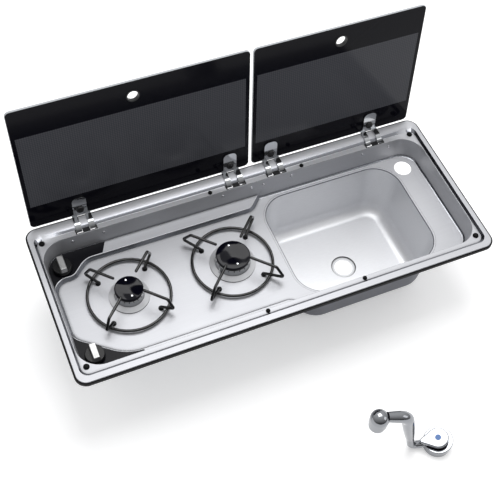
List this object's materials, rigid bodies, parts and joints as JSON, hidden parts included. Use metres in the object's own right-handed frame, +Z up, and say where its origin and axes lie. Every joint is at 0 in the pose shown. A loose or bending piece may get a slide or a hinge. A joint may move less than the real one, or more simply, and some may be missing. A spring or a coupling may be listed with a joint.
{
  "type": "hob and sink combo",
  "caption": "Recessed stainless hob and sink top with folding glass lids, gas burners with wire pan supports, push-and-turn knobs, a deep bowl and a loose folding tap.",
  "frame": {"origin": "centre of the rim's rectangle on the worktop's face, which is the underside of the rim gasket", "axes": "+X along the rim from the hob to the sink, +Y from the user's side to the lids' hinges, +Z up"},
  "size_m": [0.9, 0.7272, 0.4964],
  "materials": {
    "stainless": "satin pressed stainless sheet",
    "chrome": "bright plating",
    "black_plastic": "moulded, fine grain",
    "rubber": "matt",
    "tinted_glass": "grey tinted, printed border",
    "black_enamel": "black enamel",
    "aluminium": "cast, machined",
    "brass": "turned",
    "pipe_steel": "drawn pipe",
    "black_film": "printed sheet",
    "pin_steel": "bright steel",
    "ceramic": "glazed ceramic",
    "tray_steel": "zinc plated sheet",
    "blue_mark": "blue inlay",
    "aerator_plastic": "moulded mesh",
    "polished_steel": "polished steel",
    "silver_plastic": "silver lacquer"
  },
  "bodies": {
    "unit": {"top_panel": "stainless", "sink_bowl": "stainless", "rim_gasket": "rubber", "lid_bumpers": "rubber", "hinge_pins": "pin_steel", "hinge_rivets": "pin_steel", "cap_rivets": "pin_steel", "burner_injectors": "brass", "spark_electrodes": "ceramic", "thermocouples": "pin_steel", "pan_support_left": "black_enamel", "pan_support_right": "black_enamel", "support_studs": "rubber", "control_panel_rear": "black_film", "control_panel_front": "black_film", "gas_manifold": "pipe_steel", "feed_pipe_left": "pipe_steel", "feed_pipe_right": "pipe_steel", "burner_tray": "tray_steel", "tap_base": "chrome", "hinge_housing_1": "black_plastic", "hinge_housing_2": "black_plastic", "hinge_housing_3": "black_plastic", "hinge_housing_4": "black_plastic", "burner_ring_left": "polished_steel", "burner_head_left": "aluminium", "burner_cap_left": "black_enamel", "burner_cup_left": "aluminium", "burner_ring_right": "polished_steel", "burner_head_right": "aluminium", "burner_cap_right": "black_enamel", "burner_cup_right": "aluminium", "gas_valve_rear": "aluminium", "gas_valve_front": "aluminium"},
    "left_lid": {"left_lid_glass": "tinted_glass", "left_finger_grommet": "black_plastic", "left_lid_screws": "black_plastic", "left_lid_pads": "black_plastic", "hinge_leaf_1": "chrome", "hinge_leaf_2": "chrome"},
    "right_lid": {"right_lid_glass": "tinted_glass", "right_finger_grommet": "black_plastic", "right_lid_screws": "black_plastic", "right_lid_pads": "black_plastic", "hinge_leaf_3": "chrome", "hinge_leaf_4": "chrome"},
    "rear_knob_push": {"valve_sleeve_rear": "brass"},
    "rear_knob": {"valve_spindle_rear": "brass", "knob_dial_rear": "black_plastic", "knob_bar_rear": "silver_plastic"},
    "front_knob_push": {"valve_sleeve_front": "brass"},
    "front_knob": {"valve_spindle_front": "brass", "knob_dial_front": "black_plastic", "knob_bar_front": "silver_plastic"},
    "tap_lever": {"tap_lever": "chrome", "tap_mark": "blue_mark"},
    "tap_spout": {"tap_spout": "chrome", "tap_nozzle": "chrome", "tap_aerator": "aerator_plastic"}
  },
  "joints": [
    {"name": "left_lid_hinge", "type": "hinge", "parent": "unit", "child": "left_lid", "pos_m": [-0.19325, 0.16865, -0.00713], "axis": [1, 0, 0], "range_deg": [0, 96.8]},
    {"name": "right_lid_hinge", "type": "hinge", "parent": "unit", "child": "right_lid", "pos_m": [0.24225, 0.16865, -0.00713], "axis": [1, 0, 0], "range_deg": [0, 96.8]},
    {"name": "rear_knob_press", "type": "slide", "parent": "unit", "child": "rear_knob_push", "axis": [0, 0, -1], "range_m": [0, 0.003], "stiffness_N_per_m": 1000, "springref_m": -0.004},
    {"name": "rear_knob_turn", "type": "hinge", "parent": "rear_knob_push", "child": "rear_knob", "pos_m": [-0.397, 0.098, -0.025], "axis": [0, 0, 1], "range_deg": [0, 180]},
    {"name": "front_knob_press", "type": "slide", "parent": "unit", "child": "front_knob_push", "axis": [0, 0, -1], "range_m": [0, 0.003], "stiffness_N_per_m": 1000, "springref_m": -0.004},
    {"name": "front_knob_turn", "type": "hinge", "parent": "front_knob_push", "child": "front_knob", "pos_m": [-0.397, -0.114, -0.025], "axis": [0, 0, 1], "range_deg": [0, 180]},
    {"name": "tap_lever_lift", "type": "hinge", "parent": "unit", "child": "tap_lever", "pos_m": [0.193, -0.471, -0.162], "axis": [0.2588, 0.9659, 0], "range_deg": [0, 10]},
    {"name": "tap_spout_fold", "type": "hinge", "parent": "unit", "child": "tap_spout", "pos_m": [0.193, -0.471, -0.172], "axis": [0.9659, -0.2588, 0], "range_deg": [0, 80]}
  ]
}
